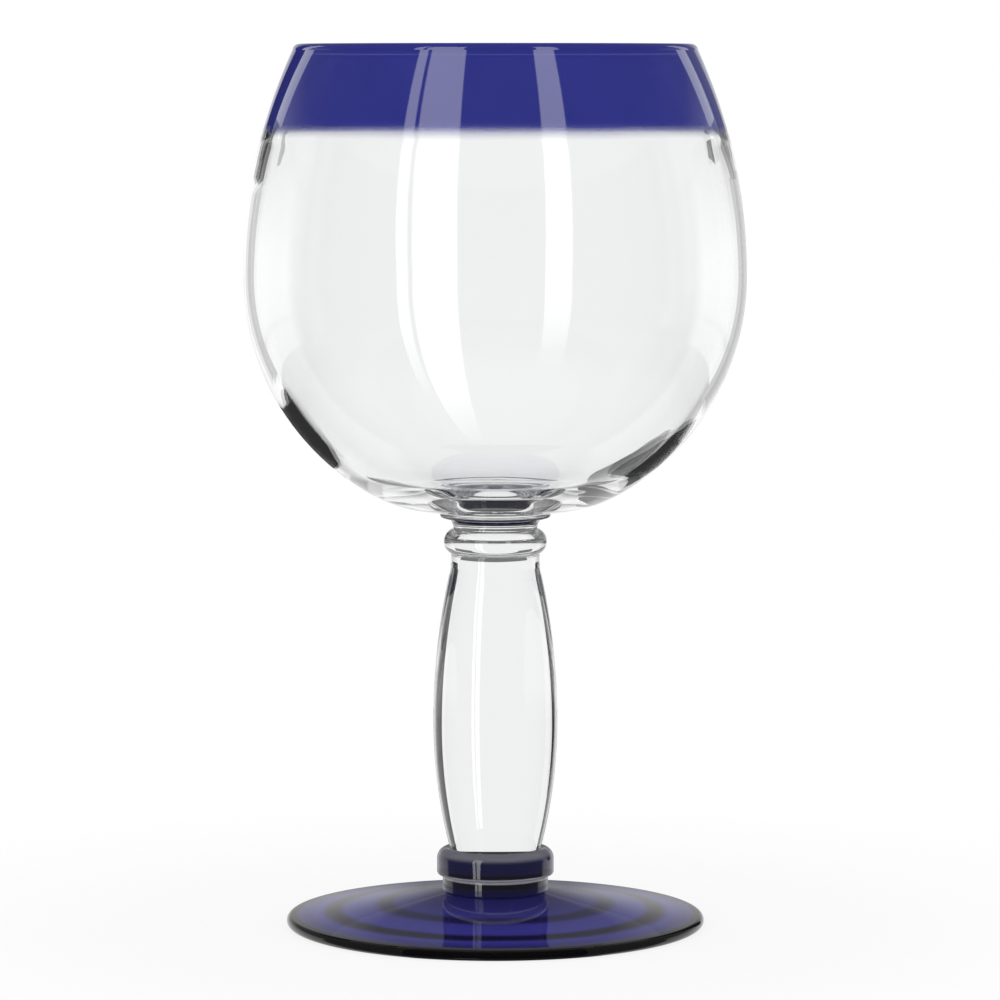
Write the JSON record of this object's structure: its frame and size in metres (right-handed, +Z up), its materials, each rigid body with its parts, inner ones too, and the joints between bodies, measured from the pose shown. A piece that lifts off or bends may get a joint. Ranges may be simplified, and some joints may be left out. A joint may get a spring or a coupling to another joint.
{
  "type": "margarita glass",
  "caption": "Round-bowled margarita glass: a clear blown bowl with a cobalt rim band, on a solid baluster stem with a knop and a wide cobalt foot.",
  "frame": {"origin": "centre of the resting plane under the foot, on the axis of the glass", "axes": "+Z up along the axis of the glass, from the foot to the rim; the glass is turned, so X and Y are any two level directions"},
  "size_m": [0.1136, 0.1136, 0.2],
  "materials": {
    "clear_glass": "clear, fire polished",
    "cobalt_glass": "cobalt, fire polished"
  },
  "bodies": {
    "root": {"foot": "cobalt_glass", "foot_wafer": "cobalt_glass", "foot_collar": "cobalt_glass", "baluster_stem": "clear_glass", "neck_knop": "clear_glass", "bowl_merese": "clear_glass", "bowl": "clear_glass", "rim_band": "cobalt_glass"}
  },
  "joints": []
}
